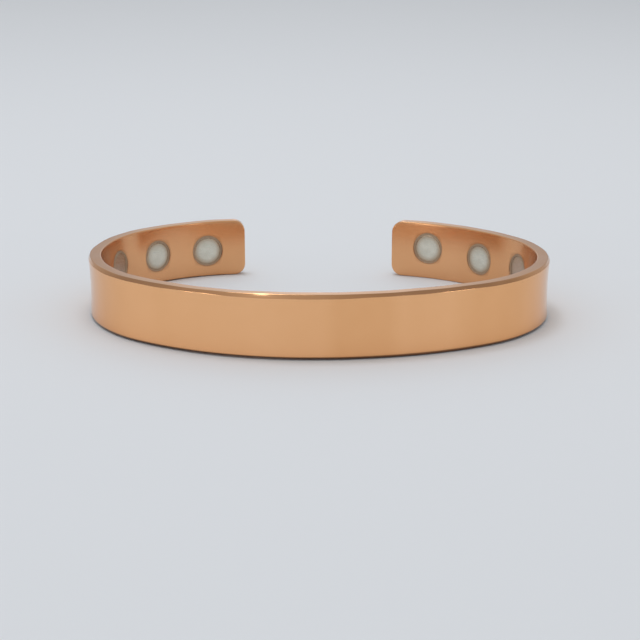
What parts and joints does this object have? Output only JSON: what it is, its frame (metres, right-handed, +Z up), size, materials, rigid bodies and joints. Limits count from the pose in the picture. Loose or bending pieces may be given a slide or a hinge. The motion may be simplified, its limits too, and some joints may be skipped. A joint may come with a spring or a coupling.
{
  "type": "magnetic cuff bracelet",
  "caption": "Open oval cuff bracelet of polished copper bar, standing on its long edge, with round magnets set flush in its inner face near both ends.",
  "frame": {"origin": "middle of the cuff's box, on the plane that its lower long edge rests on", "axes": "+Z up, square to the plane of the oval; +X to the wearer's view right along the oval's long axis; +Y from the closed front to the open gap at the back"},
  "size_m": [0.0602, 0.0462, 0.008],
  "materials": {
    "polished_copper": "bare copper, polished, with fine wear marks",
    "nickel_plate": "satin nickel plating"
  },
  "bodies": {
    "root": {"band": "polished_copper", "magnet_left_1": "nickel_plate", "magnet_left_2": "nickel_plate", "magnet_left_3": "nickel_plate", "magnet_right_1": "nickel_plate", "magnet_right_2": "nickel_plate", "magnet_right_3": "nickel_plate"}
  },
  "joints": []
}
